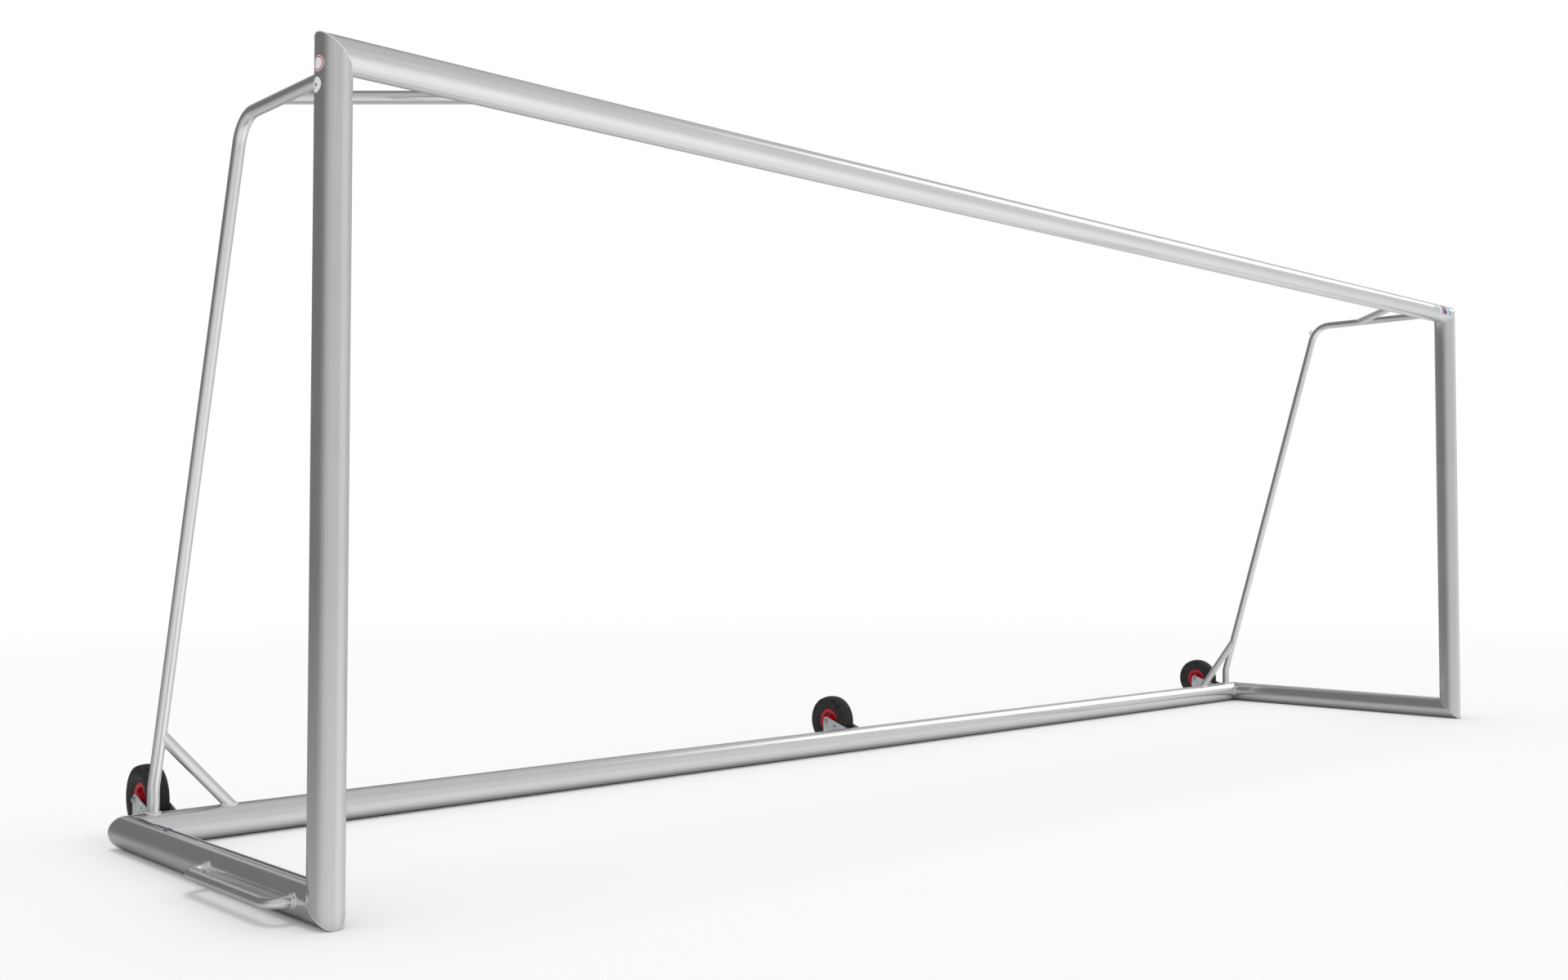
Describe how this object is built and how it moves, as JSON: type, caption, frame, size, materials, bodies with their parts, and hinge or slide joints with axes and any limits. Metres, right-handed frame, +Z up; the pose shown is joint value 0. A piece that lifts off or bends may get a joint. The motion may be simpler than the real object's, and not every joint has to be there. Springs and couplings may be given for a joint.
{
  "type": "soccer goal",
  "caption": "Free-standing full-size soccer goal frame with mitred oval profile tubes, bent rear stays, braces, side handles and transport wheels behind the rear ground tube.",
  "frame": {"origin": "on the ground, below the middle of the whole object", "axes": "+X along the crossbar to the right seen from the field, +Y from the mouth to the rear, +Z up"},
  "size_m": [7.705, 1.861, 2.545],
  "materials": {
    "profile_aluminium": "satin anodised extrusion",
    "tube_aluminium": "satin drawn tube",
    "weld_metal": "bright as-welded aluminium",
    "galvanised_steel": "dull galvanised sheet",
    "zinc_steel": "bright zinc-plated fasteners",
    "ballast_steel": "black rolled steel",
    "chock_plastic": "moulded plastic",
    "tyre_rubber": "matt black rubber",
    "rim_red": "moulded red plastic",
    "bearing_nylon": "natural nylon",
    "sticker_white": "plain vinyl",
    "sticker_red": "plain vinyl",
    "sticker_blue": "plain vinyl",
    "sticker_magenta": "plain vinyl"
  },
  "bodies": {
    "frame": {"left_post": "profile_aluminium", "right_post": "profile_aluminium", "crossbar": "profile_aluminium", "left_ground_tube": "profile_aluminium", "right_ground_tube": "profile_aluminium", "rear_ground_tube": "profile_aluminium", "left_stay": "tube_aluminium", "right_stay": "tube_aluminium", "left_top_brace": "tube_aluminium", "right_top_brace": "tube_aluminium", "left_foot_brace": "tube_aluminium", "right_foot_brace": "tube_aluminium", "left_handle": "tube_aluminium", "right_handle": "tube_aluminium", "left_handle_collars": "weld_metal", "right_handle_collars": "weld_metal", "net_eyelet": "weld_metal", "ballast_bars": "ballast_steel", "ballast_chocks": "chock_plastic", "left_fork": "galvanised_steel", "middle_fork": "galvanised_steel", "right_fork": "galvanised_steel", "fork_bolts": "zinc_steel", "rivet_nuts": "zinc_steel", "left_axle_bolt": "zinc_steel", "middle_axle_bolt": "zinc_steel", "right_axle_bolt": "zinc_steel", "axle_sleeves": "zinc_steel", "axle_washers": "zinc_steel", "axle_nuts": "zinc_steel"},
    "left_wheel": {"left_tyre": "tyre_rubber", "left_rim": "rim_red", "left_bearing": "bearing_nylon"},
    "middle_wheel": {"middle_tyre": "tyre_rubber", "middle_rim": "rim_red", "middle_bearing": "bearing_nylon"},
    "right_wheel": {"right_tyre": "tyre_rubber", "right_rim": "rim_red", "right_bearing": "bearing_nylon"}
  },
  "joints": [
    {"name": "left_wheel_spin", "type": "hinge", "parent": "frame", "child": "left_wheel", "pos_m": [-3.577, 0.8045, 0.1425], "axis": [1, 0, 0], "continuous": true},
    {"name": "middle_wheel_spin", "type": "hinge", "parent": "frame", "child": "middle_wheel", "pos_m": [0, 0.8045, 0.1425], "axis": [1, 0, 0], "continuous": true},
    {"name": "right_wheel_spin", "type": "hinge", "parent": "frame", "child": "right_wheel", "pos_m": [3.577, 0.8045, 0.1425], "axis": [1, 0, 0], "continuous": true}
  ]
}
